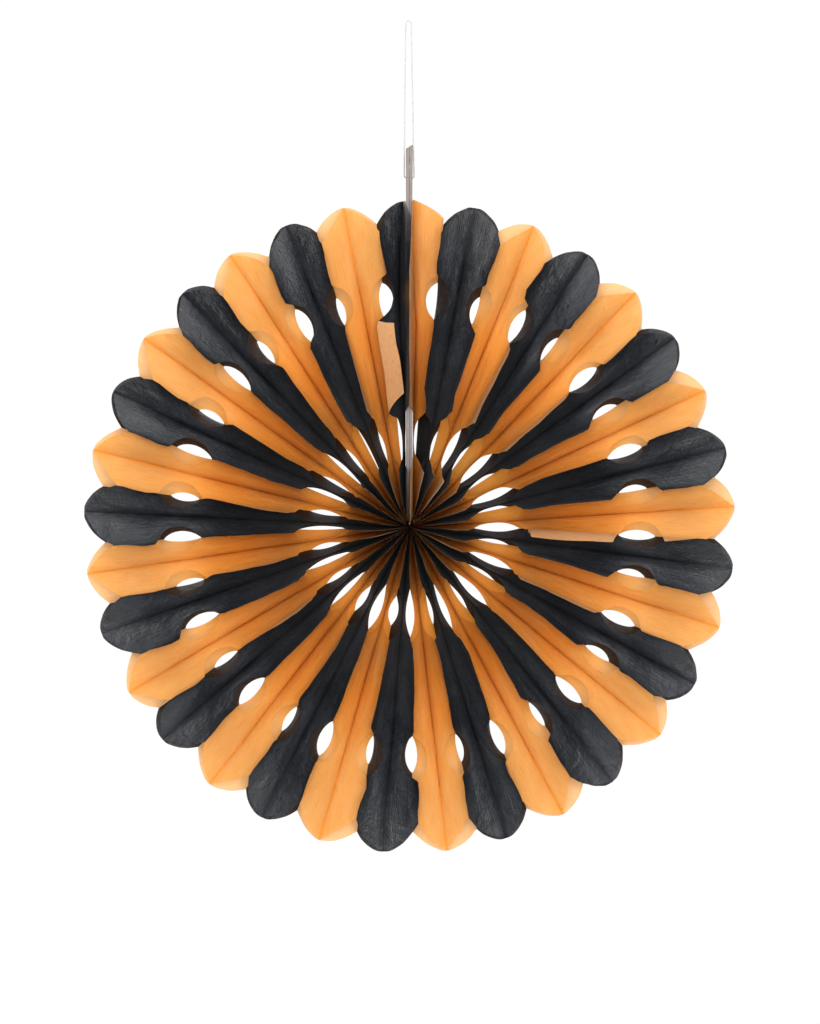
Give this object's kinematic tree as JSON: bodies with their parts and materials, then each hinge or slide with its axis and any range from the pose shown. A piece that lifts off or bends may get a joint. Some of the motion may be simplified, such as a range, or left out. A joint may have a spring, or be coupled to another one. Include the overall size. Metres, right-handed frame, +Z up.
{
  "type": "paper fan medallion",
  "caption": "Hanging paper fan: alternating orange and black die-cut tissue petals opened into a round medallion between two card strips, with a string loop.",
  "frame": {"origin": "top of the hanging string loop, where the fan is hung; the disc's centre is 317 mm straight below", "axes": "+Z up along the card strips, front of the disc faces -Y, +X to the viewer's right"},
  "size_m": [0.4055, 0.069, 0.5196],
  "materials": {
    "orange_tissue": "thin translucent tissue",
    "black_tissue": "thin tissue, slight sheen",
    "greyboard": "uncoated board",
    "adhesive": "double-sided adhesive",
    "thread": "sewing thread",
    "string": "thin cotton string"
  },
  "bodies": {
    "root": {"petal_01_orange": "orange_tissue", "petal_02_black": "black_tissue", "petal_03_orange": "orange_tissue", "petal_04_black": "black_tissue", "petal_05_orange": "orange_tissue", "petal_06_black": "black_tissue", "petal_07_orange": "orange_tissue", "petal_08_black": "black_tissue", "petal_09_orange": "orange_tissue", "petal_10_black": "black_tissue", "petal_11_orange": "orange_tissue", "petal_12_black": "black_tissue", "petal_13_orange": "orange_tissue", "petal_14_black": "black_tissue", "petal_15_orange": "orange_tissue", "petal_16_black": "black_tissue", "petal_17_orange": "orange_tissue", "petal_18_black": "black_tissue", "petal_19_orange": "orange_tissue", "petal_20_black": "black_tissue", "petal_21_orange": "orange_tissue", "petal_22_black": "black_tissue", "petal_23_orange": "orange_tissue", "petal_24_black": "black_tissue", "petal_25_orange": "orange_tissue", "petal_26_black": "black_tissue", "petal_27_orange": "orange_tissue", "petal_28_black": "black_tissue", "petal_29_orange": "orange_tissue", "petal_30_black": "black_tissue", "petal_31_orange": "orange_tissue", "petal_32_black": "black_tissue", "petal_33_orange": "orange_tissue", "petal_34_black": "black_tissue", "left_card_strip": "greyboard", "right_card_strip": "greyboard", "adhesive_strip": "adhesive", "centre_thread": "thread", "hanging_string": "string"}
  },
  "joints": []
}
